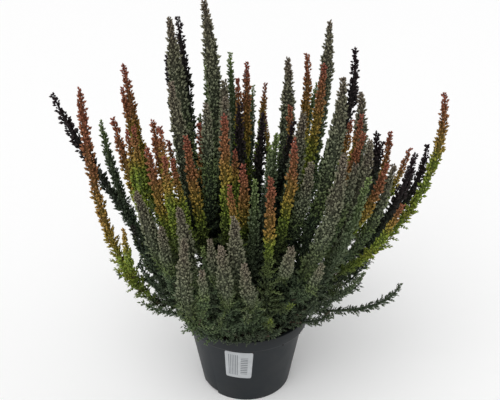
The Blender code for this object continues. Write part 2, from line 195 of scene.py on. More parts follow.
def turned_mesh(name, profile, steps):
    """Turn a closed profile of (radius, height) about the pot's axis, with its poles merged."""
    shape = bmesh.new()
    ring = [shape.verts.new((max(r, 0.0) * MM, 0.0, z * MM)) for r, z in profile]
    edges = [
        shape.edges.new((here, after))
        for here, after in zip(ring, ring[1:] + ring[:1])
        if here.co.x > 0.0 or after.co.x > 0.0
    ]
    bmesh.ops.spin(
        shape, geom=ring + edges, axis=(0.0, 0.0, 1.0), cent=(0.0, 0.0, 0.0),
        steps=steps, angle=math.tau,
    )
    bmesh.ops.remove_doubles(shape, verts=shape.verts, dist=MERGED_WITHIN * MM)
    bmesh.ops.recalc_face_normals(shape, faces=shape.faces)
    # A settled order, so that what is strewn on the mesh falls the same way every time.
    for parts in (shape.verts, shape.faces):
        ranks = {part: rank for rank, part in enumerate(sorted(parts, key=place_of))}
        parts.sort(key=lambda part: float(ranks[part]))
    return mesh_of(name, shape)


def wall_radius(z):
    """Outer radius of the pot's tapered wall, below the band."""
    return BASE_RADIUS + (BAND_RADIUS - BAND_STEP - BASE_RADIUS) * z / STEP_HEIGHT


def evaluated_mesh(item):
    """The object's mesh with its modifiers applied."""
    bpy.context.view_layer.update()
    depsgraph = bpy.context.evaluated_depsgraph_get()
    return bpy.data.meshes.new_from_object(item.evaluated_get(depsgraph))


foot_inside = BASE_RADIUS - FOOT_RING
inside_band = BAND_RADIUS - WALL
inside_step = wall_radius(STEP_HEIGHT) - WALL
pot_corners = [
    ((0.0, 0.0), 0.0),
    ((BOSS_RADIUS, 0.0), EDGE_ROUND),
    ((BOSS_RADIUS + UNDERSIDE_RECESS / 2.0, UNDERSIDE_RECESS), EDGE_ROUND),
    ((foot_inside - UNDERSIDE_RECESS / 2.0, UNDERSIDE_RECESS), EDGE_ROUND),
    ((foot_inside, 0.0), EDGE_ROUND),
    ((BASE_RADIUS, 0.0), 2.0 * EDGE_ROUND),
    ((wall_radius(STEP_HEIGHT), STEP_HEIGHT), STEP_ROUND),
    ((BAND_RADIUS, STEP_HEIGHT + BAND_UNDERCUT), STEP_ROUND),
    ((RIM_RADIUS, POT_HEIGHT), EDGE_ROUND * 2.0),
    ((LIP_RADIUS, POT_HEIGHT), EDGE_ROUND),
    ((LIP_RADIUS, POT_HEIGHT - LIP_THICKNESS), EDGE_ROUND),
    ((RIM_RADIUS - 2.0 * WALL, POT_HEIGHT - LIP_THICKNESS - EDGE_ROUND), EDGE_ROUND),
    ((inside_band, STEP_HEIGHT + WALL), EDGE_ROUND),
    ((inside_step, STEP_HEIGHT), EDGE_ROUND),
    ((BASE_RADIUS - WALL, UNDERSIDE_RECESS + FLOOR), EDGE_ROUND),
    ((0.0, UNDERSIDE_RECESS + FLOOR), 0.0),
]
pot_blank = in_scene("pot blank", turned_mesh("pot blank", rounded(pot_corners), TURN_STEPS))
holes = bmesh.new()
for number in range(DRAIN_COUNT):
    angle = math.tau * number / DRAIN_COUNT
    place = Matrix.Translation((
        DRAIN_CIRCLE * MM * math.cos(angle), DRAIN_CIRCLE * MM * math.sin(angle), 0.0
    ))
    bmesh.ops.create_cone(
        holes, cap_ends=True, segments=DRAIN_SIDES, radius1=DRAIN_RADIUS * MM,
        radius2=DRAIN_RADIUS * MM, depth=4.0 * (FLOOR + UNDERSIDE_RECESS) * MM, matrix=place,
    )
for number in range(NOTCH_COUNT):
    turn = Matrix.Rotation(NOTCH_ANGLE + math.tau * number / NOTCH_COUNT, 4, "Z")
    place = turn @ Matrix.Translation((BASE_RADIUS * MM, 0.0, 0.0))
    size = Vector((2.0 * NOTCH_DEPTH, NOTCH_WIDTH, 2.0 * NOTCH_HEIGHT)) * MM
    bmesh.ops.create_cube(holes, size=1.0, matrix=place @ Matrix.Diagonal((*size, 1.0)))
hole_cutter = in_scene("pot holes", mesh_of("pot holes", holes))
drill = pot_blank.modifiers.new("drainage", "BOOLEAN")
drill.operation = "DIFFERENCE"
drill.object = hole_cutter
pot_mesh = evaluated_mesh(pot_blank)
pot_mesh.shade_smooth()
pot_mesh.set_sharp_from_angle(angle=SHARP_ANGLE)
bpy.data.objects.remove(pot_blank)
bpy.data.objects.remove(hole_cutter)

# Pressed polypropylene, black with a blue-grey cast: satin, with the fine grain of the mould,
# faint upright rub marks where pots were stacked, and a thin film of dried peat near the rim.
CLOUD_SIZE = 26.3
RUB_SIZE = 4.17
RUB_DRAWN_OUT = 0.12
RUB_SHOWS = (0.62, 0.8)
MOULD_GRAIN_SIZE = 0.417
MOULD_GRAIN_DEPTH = 0.2
DUST_HEIGHTS = (66.0, 88.0)
black_plastic, tree, shader = new_material("pressed black polypropylene")
place = add_node(tree, "ShaderNodeTexCoord").outputs["Object"]
height = add_node(tree, "ShaderNodeSeparateXYZ", {"Vector": place}).outputs["Z"]
cloud = add_node(
    tree, "ShaderNodeTexNoise", {"Vector": place, "Scale": per_metre(CLOUD_SIZE), "Detail": 5.0}
)
stretch = add_node(tree, "ShaderNodeMapping", {"Vector": place, "Scale": (1.0, 1.0, RUB_DRAWN_OUT)})
rubs = add_node(tree, "ShaderNodeTexNoise", {
    "Vector": stretch, "Scale": per_metre(RUB_SIZE), "Detail": 3.0, "Roughness": 0.7,
})
grain = add_node(
    tree, "ShaderNodeTexNoise",
    {"Vector": place, "Scale": per_metre(MOULD_GRAIN_SIZE), "Detail": 2.0},
)
tone = add_node(
    tree, "ShaderNodeValToRGB", {"Fac": cloud}, stops=[(0.3, "#080f14"), (0.7, "#0d161c")]
)
rub_share = add_node(tree, "ShaderNodeMapRange", {
    "Value": rubs, "From Min": RUB_SHOWS[0], "From Max": RUB_SHOWS[1], "To Max": 0.15,
})
rubbed = add_node(
    tree, "ShaderNodeMix", {"Factor": rub_share, 6: tone, 7: linear("#202325")}, data_type="RGBA"
)
near_rim = add_node(tree, "ShaderNodeMapRange", {
    "Value": height, "From Min": DUST_HEIGHTS[0] * MM, "From Max": DUST_HEIGHTS[1] * MM,
    "To Max": 0.5,
})
dust_share = add_node(tree, "ShaderNodeMath", {0: near_rim, 1: cloud}, operation="MULTIPLY")
dusty = add_node(
    tree, "ShaderNodeMix",
    {"Factor": dust_share, 6: rubbed, 7: linear("#272522")},
    data_type="RGBA",
)
gloss = add_node(tree, "ShaderNodeMapRange", {
    "Value": cloud, "From Min": 0.3, "From Max": 0.7, "To Min": 0.46, "To Max": 0.56,
})
relief = add_node(
    tree, "ShaderNodeBump",
    {"Strength": 0.15, "Distance": MOULD_GRAIN_DEPTH * MM, "Height": grain},
)
set_inputs(tree, shader, {
    "Base Color": dusty, "Roughness": gloss, "Specular IOR Level": 0.3, "Normal": relief,
})
new_piece("pot_shell", pot_mesh, black_plastic, "pot", "pot")

# The label. A self-adhesive sticker of coated white paper on the front of the wall, put on a
# little askew. Its print is plain grey rules and evenly spaced bars.
LABEL_WIDTH = 27.0
LABEL_HEIGHT = 35.5
LABEL_TOP = 69.5
LABEL_THICKNESS = 0.35
LABEL_CORNER = 2.5
LABEL_SIDE = math.radians(-7.5)
LABEL_TILT = math.radians(2.5)
LABEL_LIFT = 0.05
LABEL_STRIPS = 18
CORNER_STEPS = 6
shape = bmesh.new()
bmesh.ops.create_grid(shape, x_segments=LABEL_STRIPS, y_segments=1, size=0.5)
for vertex in shape.verts:
    vertex.co.x *= LABEL_WIDTH
    vertex.co.y *= LABEL_HEIGHT
corners = [v for v in shape.verts if len(v.link_edges) == 2]
bmesh.ops.bevel(
    shape, geom=corners, offset=LABEL_CORNER, segments=CORNER_STEPS, profile=0.5,
    affect="VERTICES",
)
sheet = shape.loops.layers.uv.new("print")
for face in shape.faces:
    for loop in face.loops:
        loop[sheet].uv = (
            loop.vert.co.x / LABEL_WIDTH + 0.5, loop.vert.co.y / LABEL_HEIGHT + 0.5
        )
label_middle = LABEL_TOP - LABEL_HEIGHT / 2.0
cosine, sine = math.cos(LABEL_TILT), math.sin(LABEL_TILT)
for vertex in shape.verts:
    across = vertex.co.x * cosine + vertex.co.y * sine
    up = label_middle + vertex.co.y * cosine - vertex.co.x * sine
    radius = (wall_radius(up) + LABEL_LIFT) * MM
    angle = LABEL_SIDE + across / wall_radius(label_middle)
    vertex.co = (radius * math.sin(angle), -radius * math.cos(angle), up * MM)
label_sheet = in_scene("label sheet", mesh_of("label", shape))
paper_thickness = label_sheet.modifiers.new("thickness", "SOLIDIFY")
paper_thickness.thickness = LABEL_THICKNESS * MM
paper_thickness.offset = 1.0
label_mesh = evaluated_mesh(label_sheet)
bpy.data.objects.remove(label_sheet)


def mottled(tree, size, detail, stops):
    """A colour that varies in patches of this size in millimetres."""
    place = add_node(tree, "ShaderNodeTexCoord").outputs["Object"]
    patches = add_node(
        tree, "ShaderNodeTexNoise", {"Vector": place, "Scale": per_metre(size), "Detail": detail}
    )
    return add_node(tree, "ShaderNodeValToRGB", {"Fac": patches}, stops=stops)


# Coated paper, a cold off-white with a satin face. The print is a few fine rules on the left
# and a column of plain bars on the right, all grey and all evenly spaced. Each block of print is
# given by its left, right, low and high edges as shares of the label, its count of lines and
# the inked share of each.
RULES = (0.09, 0.47, 0.10, 0.90, 16.0, 0.42)
BARS = (0.57, 0.83, 0.16, 0.80, 14.0, 0.5)
PAPER_FIBRE_SIZE = 6.25
label_paper, tree, shader = new_material("coated label paper")
sheet_uv = add_node(tree, "ShaderNodeUVMap", uv_map="print").outputs["UV"]
parted = add_node(tree, "ShaderNodeSeparateXYZ", {"Vector": sheet_uv})
across, upward = parted.outputs["X"], parted.outputs["Y"]
prints = []
for block, axis in ((RULES, across), (BARS, upward)):
    left, right, low, high, count, ink = block
    inside = 1.0
    for value, limit, side in (
        (across, left, "GREATER_THAN"), (across, right, "LESS_THAN"),
        (upward, low, "GREATER_THAN"), (upward, high, "LESS_THAN"),
    ):
        test = add_node(tree, "ShaderNodeMath", {0: value, 1: limit}, operation=side)
        inside = add_node(tree, "ShaderNodeMath", {0: inside, 1: test}, operation="MULTIPLY")
    lines = add_node(tree, "ShaderNodeMath", {0: axis, 1: count}, operation="MULTIPLY")
    part_way = add_node(tree, "ShaderNodeMath", {0: lines}, operation="FRACT")
    inked = add_node(tree, "ShaderNodeMath", {0: part_way, 1: ink}, operation="LESS_THAN")
    prints.append(add_node(tree, "ShaderNodeMath", {0: inside, 1: inked}, operation="MULTIPLY"))
all_print = add_node(tree, "ShaderNodeMath", {0: prints[0], 1: prints[1]}, operation="MAXIMUM")
white = mottled(tree, PAPER_FIBRE_SIZE, 4.0, [(0.3, "#a5a8aa"), (0.7, "#b1b4b7")])
printed = add_node(
    tree, "ShaderNodeMix", {"Factor": all_print, 6: white, 7: linear("#62666a")}, data_type="RGBA"
)
set_inputs(tree, shader, {"Base Color": printed, "Roughness": 0.42})
new_piece("label_sticker", label_mesh, label_paper, "label", "label")

# The peat. Dark sphagnum peat and bark, pressed in round the plugs and watered down, so that
# its top is uneven. Crumbs and a few root fibres lie loose on it.
SOIL_TOP = 76.0
SOIL_CLEAR = 0.1
SOIL_RINGS = 26
SOIL_STEPS = 96
SOIL_RELIEF = 1.4
LUMPS_A_METRE = 90.0
LUMP_ROUGHNESS, LUMP_STEP, LUMP_LAYERS = 0.8, 2.1, 4
soil_radius = inside_band - SOIL_CLEAR
peat_profile = [
    (0.0, UNDERSIDE_RECESS + FLOOR + SOIL_CLEAR),
    (BASE_RADIUS - WALL - SOIL_CLEAR, UNDERSIDE_RECESS + FLOOR + SOIL_CLEAR),
    (inside_step - SOIL_CLEAR, STEP_HEIGHT + SOIL_CLEAR),
    (soil_radius, STEP_HEIGHT + WALL + SOIL_CLEAR),
]
peat_profile += [(soil_radius * (1.0 - n / SOIL_RINGS), SOIL_TOP) for n in range(SOIL_RINGS + 1)]
peat_mesh = turned_mesh("peat", peat_profile, SOIL_STEPS)
for vertex in peat_mesh.vertices:
    if vertex.co.z > (SOIL_TOP - SOIL_CLEAR) * MM:
        spot = vertex.co * LUMPS_A_METRE
        lump = noise.fractal(spot, LUMP_ROUGHNESS, LUMP_STEP, LUMP_LAYERS)
        vertex.co.z += SOIL_RELIEF * MM * lump
peat_mesh.shade_smooth()

# Peat, nearly black while damp: rough and without gloss, with browner crumbs and bits of bark.
PATCH_SIZE = 7.7
GRIT_SIZE = 1.11
GRIT_DEPTH = 0.6
damp_peat, tree, shader = new_material("damp sphagnum peat")
place = add_node(tree, "ShaderNodeTexCoord").outputs["Object"]
grit = add_node(tree, "ShaderNodeTexVoronoi", {"Vector": place, "Scale": per_metre(GRIT_SIZE)})
brown = mottled(tree, PATCH_SIZE, 6.0, [(0.35, "#15110f"), (0.55, "#241c17"), (0.75, "#3b2d22")])
relief = add_node(
    tree, "ShaderNodeBump", {"Strength": 0.7, "Distance": GRIT_DEPTH * MM, "Height": grit}
)
set_inputs(tree, shader, {
    "Base Color": brown, "Roughness": 0.95, "Specular IOR Level": 0.2, "Normal": relief,
})
new_piece("peat_body", peat_mesh, damp_peat, "peat", "peat")

# What lies loose on the peat: uneven, flattened crumbs, and thin fibres that taper and bend.
# Both shapes are a unit across, so that their real size is given where they are strewn.
CRUMB_SIZES = (0.9, 3.2)
CRUMBS_A_SQUARE_METRE = 90000.0
CRUMB_UNEVENNESS = (0.7, 1.15)
CRUMB_FLATNESS = 0.75
FIBRE_LENGTHS = (5.0, 12.0)
FIBRES_A_SQUARE_METRE = 7000.0
FIBRE_ENDS = (0.022, 0.01)
FIBRE_BENDS = 3
SIDE_BEND, SIDE_WAVES = 0.12, 5.0
UP_BEND, UP_WAVES = 0.05, 7.0
LITTER_DEPTH = 3.0
LITTER_TILT = 0.3
chance = random.Random(5)
crumb_shape = bmesh.new()
bmesh.ops.create_icosphere(crumb_shape, subdivisions=1, radius=0.5)
for vertex in crumb_shape.verts:
    vertex.co *= chance.uniform(*CRUMB_UNEVENNESS)
    vertex.co.z *= CRUMB_FLATNESS
crumb = in_scene("crumb", mesh_of("crumb", crumb_shape))

fibre_shape = bmesh.new()
bmesh.ops.create_cone(
    fibre_shape, cap_ends=True, segments=4, radius1=FIBRE_ENDS[0], radius2=FIBRE_ENDS[1],
    depth=1.0, matrix=Matrix.Rotation(math.radians(90.0), 4, "Y"),
)
long_edges = [edge for edge in fibre_shape.edges if edge.calc_length() > 0.5]
bmesh.ops.subdivide_edges(fibre_shape, edges=long_edges, cuts=FIBRE_BENDS)
for vertex in fibre_shape.verts:
    vertex.co.y += SIDE_BEND * math.sin(vertex.co.x * SIDE_WAVES)
    vertex.co.z += UP_BEND * math.cos(vertex.co.x * UP_WAVES)
fibre = in_scene("fibre", mesh_of("fibre", fibre_shape))


def new_tree(name, sockets):
    """A new node tree that takes and gives a mesh, with named inputs of these kinds."""
    tree = bpy.data.node_groups.new(name, "GeometryNodeTree")
    tree.interface.new_socket("Geometry", in_out="INPUT", socket_type="NodeSocketGeometry")
    for socket, kind in sockets.items():
        tree.interface.new_socket(socket, in_out="INPUT", socket_type=f"NodeSocket{kind}")
    tree.interface.new_socket("Geometry", in_out="OUTPUT", socket_type="NodeSocketGeometry")
    return tree, tree.nodes.new("NodeGroupInput").outputs, tree.nodes.new("NodeGroupOutput")


def grown_mesh(name, mesh, tree, values):
    """Run a node tree on a mesh with these input values, and return the plain mesh it makes."""
    item = in_scene(name, mesh)
    growth = item.modifiers.new("growth", "NODES")
    growth.node_group = tree
    for socket in tree.interface.items_tree:
        if socket.in_out == "INPUT" and socket.name in values:
            growth[socket.identifier] = values[socket.name]
    made = evaluated_mesh(item)
    item.modifiers.remove(growth)
    bpy.data.objects.remove(item)
    made.name = name
    return made


litter, given, result = new_tree("litter", {
    "Shape": "Object", "Density": "Float", "Smallest": "Float", "Largest": "Float",
    "Seed": "Int", "Material": "Material",
})
spot = add_node(litter, "GeometryNodeInputPosition").outputs["Position"]
lift = add_node(litter, "ShaderNodeSeparateXYZ", {"Vector": spot}).outputs["Z"]
on_top = add_node(
    litter, "FunctionNodeCompare", {"A": lift, "B": (SOIL_TOP - LITTER_DEPTH) * MM},
    operation="GREATER_THAN",
)
scatter = add_node(litter, "GeometryNodeDistributePointsOnFaces", {
    "Mesh": given["Geometry"], "Selection": on_top, "Density": given["Density"],
    "Seed": given["Seed"],
})
turn = add_node(
    litter, "FunctionNodeRandomValue",
    {0: (-LITTER_TILT, -LITTER_TILT, 0.0), 1: (LITTER_TILT, LITTER_TILT, math.tau)},
    data_type="FLOAT_VECTOR",
)
turned = add_node(litter, "FunctionNodeEulerToRotation", {"Euler": turn})
size = add_node(
    litter, "FunctionNodeRandomValue",
    {2: given["Smallest"], 3: given["Largest"], "Seed": 2}, data_type="FLOAT",
)
shape_in = add_node(litter, "GeometryNodeObjectInfo", {"Object": given["Shape"]})
strewn = add_node(litter, "GeometryNodeInstanceOnPoints", {
    "Points": scatter, "Instance": shape_in.outputs["Geometry"], "Rotation": turned, "Scale": size,
})
whole = add_node(litter, "GeometryNodeRealizeInstances", {"Geometry": strewn})
finished = add_node(litter, "GeometryNodeSetMaterial", {
    "Geometry": whole, "Material": given["Material"],
})
set_inputs(litter, result, {"Geometry": finished})

# Root fibres and bark shreds: dry, pale straw brown, and darker every few millimetres.
MOTTLE_SIZE = 3.33
dry_fibre, tree, shader = new_material("dry root fibre")
straw = mottled(tree, MOTTLE_SIZE, 2.0, [(0.35, "#3a2c20"), (0.7, "#6a543c")])
set_inputs(tree, shader, {"Base Color": straw, "Roughness": 0.85})
for name, shape, density, (smallest, largest), seed, material in (
    ("peat_crumbs", crumb, CRUMBS_A_SQUARE_METRE, CRUMB_SIZES, 3, damp_peat),
    ("peat_fibres", fibre, FIBRES_A_SQUARE_METRE, FIBRE_LENGTHS, 8, dry_fibre),
):
    loose = grown_mesh(name, peat_mesh, litter, {
        "Shape": shape, "Density": density, "Smallest": smallest * MM,
        "Largest": largest * MM, "Seed": seed, "Material": material,
    })
    loose.shade_smooth()
    new_piece(name, loose, material, "peat")
    bpy.data.objects.remove(shape)

# The heather's stems. Young, slim woody rods, rooted in the peat in four kinds of bud-flowering
# heather. They arch out over the rim and turn upright, and each stem with its side branches is
# one piece. Their places and bends are the solids' own, worked out again here.
FOOT_RADIUS = 1.4
FOOT_RISE = 5.0
HOLE_DEPTH = 12.0
GAP = 0.3
FOOT_LENGTH = HOLE_DEPTH + FOOT_RISE - GAP
FOOT_CIRCLE = 51.0
FOOT_SPACING = 13.6
TIP_CIRCLE = 170.0
FEET_DRAWN_IN = 0.75
FEET_ROUNDS = 600
BRANCH_RADIUS = 1.05
BARE_STEM = 5.0
BARE_BRANCH = 8.0

# Paths are points about this far apart. A bend is given by how far out and how far up it lies on
# the way to the tip. A branch leaves its leader at a share of the branch's own height, and
# never within a few points of the leader's ends.
STEP = 7.0
FEWEST_POINTS = 4
CURVE_POINTS = 61
LEADER_BEND = (0.65, 0.4)
BRANCH_BEND = (0.65, 0.3)
BRANCH_ROOT = 0.42
ROOT_MARGIN = 4

# How far the leaves reach from each kind's rod, and the share of that at a shoot's foot and tip.
REACH = {"grey": 7.4, "ember": 5.2, "dark": 5.8, "green": 5.4}
LOW_REACH = 0.6
LOW_LENGTH = 60.0
TIP_REACH = 0.4
TIP_LENGTH = 45.0
TIP_POWER = 0.7
LEAF_VARIATION = 0.12

# How shoots make room. Points nearer than their reach and a clearance push each other apart, and
# each bend is smoothed, round after round. Which points are near is looked up again every few
# rounds. Close to the rim the shoots are lifted clear of it.
CLEARANCE = 1.3
ROUNDS = 120
LOOK_AGAIN = 10
PUSH = 0.3
NEAR = 30.0
KIN_LENGTH = 35.0
HELD_POINTS = 2
SMOOTHING = 0.25
RIM_ZONE = (LIP_RADIUS - 6.0, RIM_RADIUS + 14.0)

# The stems of each kind. A stem is a list of tips: its leader's, then its side branches'.
# Two more values are where the leader bends, where it isn't as LEADER_BEND says: how far out
# and how far up the way to its tip.
STEMS = {
    "grey": [
        [(-67, 10, 377)],
        [(-60, -55, 335), (-33, -50, 316)],
        [(-35, -5, 393, 0.5, 0.75), (-19, -15, 326), (-15, -30, 317)],
        [(39, 25, 338, 1.2, 0.5)],
        [(80, 60, 365, 1.05, 0.55), (67, 130, 279), (108, 120, 273), (60, 100, 130)],
        [(49, -45, 307), (50, -80, 275), (36, -115, 216)],
        [(79, -60, 340, 1.0, 0.6)],
        [(106, 10, 310, 1.2, 0.3)],
        [(79, -95, 288, 0.9, 0.45), (92, -80, 271), (65, -95, 190)],
        [(108, -60, 286, 1.0, 0.5), (128, -45, 259), (88, -62, 150)],
        [(-89, -85, 250), (-70, -95, 224), (-60, -85, 150), (-62, -70, 125), (-100, -40, 118)],
        [(-53, -100, 244), (-50, -95, 130)],
        [(-46, -115, 223, 1.2, 0.4), (-39, -120, 197)],
        [(-9, -115, 242), (5, -105, 150)],
        [(-19, -120, 221), (-26, -105, 214), (-20, -100, 140)],
        [(-4, -118, 200)],
        [(-79, 100, 314), (-69, 135, 245), (-52, 100, 120)],
        [(2, 135, 274), (22, 108, 125)],
    ],
    "ember": [
        [(-135, -55, 330, 1.0, 0.08), (-106, -75, 211), (-113, -60, 177), (-95, -45, 125)],
        [
            (-113, -40, 300, 0.6, 0.15), (-100, -50, 292), (-91, -70, 303), (-100, -20, 150),
            (-105, -30, 181),
        ],
        [(-110, 10, 334, 0.75, 0.25), (-109, -10, 319), (-122, 70, 286), (-125, 80, 180)],
        [(-76, -60, 304, 0.7, 0.25), (-69, -75, 304), (-87, -10, 198)],
        [(-77, -80, 289), (-64, -90, 285)],
        [(-48, -70, 294), (-61, -75, 276)],
        [(-41, -20, 289), (-69, -25, 275), (-44, 5, 157)],
        [(-16, -75, 313), (-10, -60, 277)],
        [(1, 35, 331), (-7, 20, 320), (19, 50, 308), (-11, 120, 268)],
        [(-1, -80, 273), (-12, -95, 261)],
        [(43, -75, 294, 1.1, 0.7), (40, -98, 150)],
        [(21, -100, 270), (22, -100, 135)],
        [(58, 40, 338, 1.2, 0.65), (85, 110, 297), (20, 110, 260)],
        [(71, 10, 335, 0.85, 0.4), (39, -10, 301)],
        [(99, -55, 293), (102, -25, 298), (91, -45, 298)],
        [(137, 10, 272, 1.0, 0.45), (153, 0, 258), (117, 85, 265)],
        [(115, -65, 269), (134, -70, 233)],
        [(180, 0, 312, 1.14, 0.42)],
    ],
    "dark": [
        [(-171, -10, 313, 0.8, 0.66), (-85, 10, 145), (-91, -35, 137)],
        [(-63, 45, 371, 0.65, 0.7), (-77, 60, 333)],
        [(-8, -20, 307)],
        [(16, 0, 292), (41, -20, 292)],
        [(102, 35, 344, 1.15, 0.7)],
        [(119, -15, 279, 1.05, 0.45), (121, -30, 276), (98, -45, 130)],
        [(149, -40, 268, 0.8, 0.4), (112, -25, 150), (106, -50, 142)],
        [(174, 15, 256, 1.0, 0.5), (176, 60, 212), (105, 15, 130)],
        [(-101, -60, 207), (-85, -60, 150), (-99, -45, 163)],
    ],
    "green": [
        [(-36, 70, 303), (-49, 35, 282), (-32, 40, 175)],
        [(-16, 75, 333), (7, 95, 294)],
        [(8, -85, 263), (21, -65, 284)],
        [(27, -45, 289), (31, -15, 275)],
        [(75, 90, 298), (48, 120, 278), (77, 150, 149)],
        [(97, -90, 267), (104, -80, 172), (62, -88, 150), (80, -68, 120)],
        [(-37, -90, 202), (-59, -60, 107), (-31, -85, 115), (-32, -95, 165)],
        [(148, -40, 136, 0.93, 0.24), (66, -57, 101)],
        [(-43, 115, 311), (-69, 150, 145), (4, 155, 152), (-22, 105, 125)],
        [
            (-138, 20, 280, 0.85, 0.25), (-110, 105, 208), (-114, 115, 126), (-111, 20, 126),
            (-85, 70, 130), (-119, -45, 152),
        ],
        [(142, 80, 212), (124, 115, 135), (134, 30, 120), (85, 75, 125)],
        [(12, -88, 110), (-22, -82, 100), (0, -85, 105), (29, -85, 115)],
    ],
}


def bend(start, tip, place, straight=0.0):
    """A curve from start to tip. It bends at a place this far out and this far up the way."""
    start = np.array(start, float)
    tip = np.array(tip, float)
    out, up = place
    knee = start + (tip - start) * np.array([out, out, up])
    t = np.linspace(0.0, 1.0, CURVE_POINTS)[:, None]
    curve = evenly((1 - t) ** 2 * start + 2 * t * (1 - t) * knee + t ** 2 * tip, STEP)
    if straight:
        curve = np.vstack([start - np.array([0.0, 0.0, straight]), curve])
    return curve


def lengths(path):
    """How far along a path each of its points is."""
    steps = np.sqrt(((path[1:] - path[:-1]) ** 2).sum(axis=1))
    return np.concatenate([[0.0], np.cumsum(steps)])


def at_lengths(path, wanted):
    """The points that lie these lengths along a path."""
    along = lengths(path)
    return np.stack([np.interp(wanted, along, path[:, axis]) for axis in range(3)], axis=1)


def evenly(path, step):
    """The same path with evenly spaced points, about a step apart."""
    total = lengths(path)[-1]
    count = max(FEWEST_POINTS, int(round(total / step)) + 1)
    return at_lengths(path, np.linspace(0.0, total, count))


def leaf_reach(kind, along, total, bare):
    """How far the leaf tips stand from the stem's middle, along a stem or a branch."""
    low = np.clip((along - bare) / LOW_LENGTH, 0.0, 1.0)
    top = np.clip((total - along) / TIP_LENGTH, 0.0, 1.0) ** TIP_POWER
    share = (LOW_REACH + (1.0 - LOW_REACH) * low) * (TIP_REACH + (1.0 - TIP_REACH) * top)
    return np.where(along >= bare, REACH[kind] * share, 0.0)


def place_feet(tips):
    """Feet lie under their tips, drawn in towards the middle and kept apart in the peat."""
    tips = np.array([tip[:2] for tip in tips], float)
    far = np.sqrt((tips ** 2).sum(axis=1))
    feet = tips / far[:, None] * (FOOT_CIRCLE * (far / TIP_CIRCLE) ** FEET_DRAWN_IN)[:, None]
    for _ in range(FEET_ROUNDS):
        apart = feet[:, None, :] - feet[None, :, :]
        distance = np.sqrt((apart ** 2).sum(axis=2)) + np.eye(len(feet)) * 1000.0
        push = np.clip(FOOT_SPACING - distance, 0.0, None) / distance * PUSH
        feet = feet + (apart * push[:, :, None]).sum(axis=1)
        out = np.sqrt((feet ** 2).sum(axis=1))
        feet = feet * np.minimum(1.0, FOOT_CIRCLE / out)[:, None]
    return feet


def lay_out():
    """Give every stem and branch its path, before they make room for each other."""
    names = []
    for kind, stems in STEMS.items():
        for number, tips in enumerate(stems, 1):
            names.append((f"stem_{kind}_{number:02d}", kind, tips))
    feet = place_feet([tips[0] for _, _, tips in names])
    shoots = []
    ground = SOIL_TOP + FOOT_RISE
    for number, (name, kind, tips) in enumerate(names):
        x, y = feet[number]
        tip = tips[0][:3]
        path = bend((x, y, ground), tip, tips[0][3:] or LEADER_BEND, FOOT_LENGTH)
        leader = len(shoots)
        shoots.append({"name": name, "kind": kind, "path": path, "parent": None, "root": 0})
        for tip in tips[1:]:
            height = ground + BRANCH_ROOT * (tip[2] - ground)
            root = int(np.argmin(np.abs(path[:, 2] - height)))
            root = max(ROOT_MARGIN, min(root, len(path) - 1 - ROOT_MARGIN))
            branch = bend(path[root], tip, BRANCH_BEND)
            shoots.append(
                {"name": name, "kind": kind, "path": branch, "parent": leader, "root": root}
            )
    for shoot in shoots:
        along = lengths(shoot["path"])
        bare = FOOT_LENGTH + BARE_STEM if shoot["parent"] is None else BARE_BRANCH
        shoot["bare"] = bare
        reach = leaf_reach(shoot["kind"], along, along[-1], bare) * (1 + LEAF_VARIATION)
        shoot["reach"] = np.maximum(reach, FOOT_RADIUS)
    return shoots


def make_room(shoots):
    """Bend the stems clear of each other and of the pot's rim, with their feet held still."""
    start = np.cumsum([0] + [len(s["path"]) for s in shoots])
    points = np.concatenate([s["path"] for s in shoots])
    grown = points.copy()
    reach = np.concatenate([s["reach"] for s in shoots])
    owner = np.concatenate([np.full(len(s["path"]), i) for i, s in enumerate(shoots)])
    family = np.array([i if s["parent"] is None else s["parent"] for i, s in enumerate(shoots)])
    order = np.concatenate([np.arange(len(s["path"])) for s in shoots])
    branch = np.array([s["parent"] is not None for s in shoots])[owner]
    young = branch & (order * STEP < KIN_LENGTH)
    one, two = None, None
    for turn in range(ROUNDS):
        if turn % LOOK_AGAIN == 0:
            apart = [points[:, None, axis] - points[None, :, axis] for axis in range(3)]
            near = apart[0] ** 2 + apart[1] ** 2 + apart[2] ** 2 < NEAR ** 2
            near &= owner[:, None] < owner[None, :]
            kin = family[owner][:, None] == family[owner][None, :]
            near &= ~(kin & (young[:, None] | young[None, :]))
            one, two = np.nonzero(near)
        apart = points[one] - points[two]
        distance = np.sqrt((apart ** 2).sum(axis=1)) + 0.001
        lacking = np.clip(reach[one] + reach[two] + CLEARANCE - distance, 0.0, None)
        push = apart * (PUSH * lacking / distance)[:, None]
        move = np.zeros_like(points)
        for axis in range(3):
            move[:, axis] += np.bincount(one, push[:, axis], len(points))
            move[:, axis] -= np.bincount(two, push[:, axis], len(points))
        shift = points + move - grown
        for number, shoot in enumerate(shoots):
            first, last = start[number], start[number + 1]
            own = shift[first:last].copy()
            if shoot["parent"] is None:
                own[:HELD_POINTS] = 0.0
            else:
                own[0] = shift[start[shoot["parent"]] + shoot["root"]]
            smooth = own.copy()
            smooth[1:-1] += SMOOTHING * (own[:-2] - 2.0 * own[1:-1] + own[2:])
            smooth[-1] += SMOOTHING * (own[-2] - own[-1])
            if shoot["parent"] is None:
                smooth[:HELD_POINTS] = 0.0
            shift[first:last] = smooth
        points = grown + shift
        out = np.sqrt((points[:, :2] ** 2).sum(axis=1))
        floor = np.where(out < RIM_ZONE[0], SOIL_TOP, POT_HEIGHT) + reach + CLEARANCE
        held = (order < HELD_POINTS) & ~branch
        low = (out < RIM_ZONE[1]) & ~held
        points[:, 2] = np.where(low, np.maximum(points[:, 2], floor), points[:, 2])
    for number, shoot in enumerate(shoots):
        shoot["path"] = points[start[number]:start[number + 1]].copy()
    for shoot in shoots:
        if shoot["parent"] is not None:
            shoot["path"][0] = shoots[shoot["parent"]]["path"][shoot["root"]]


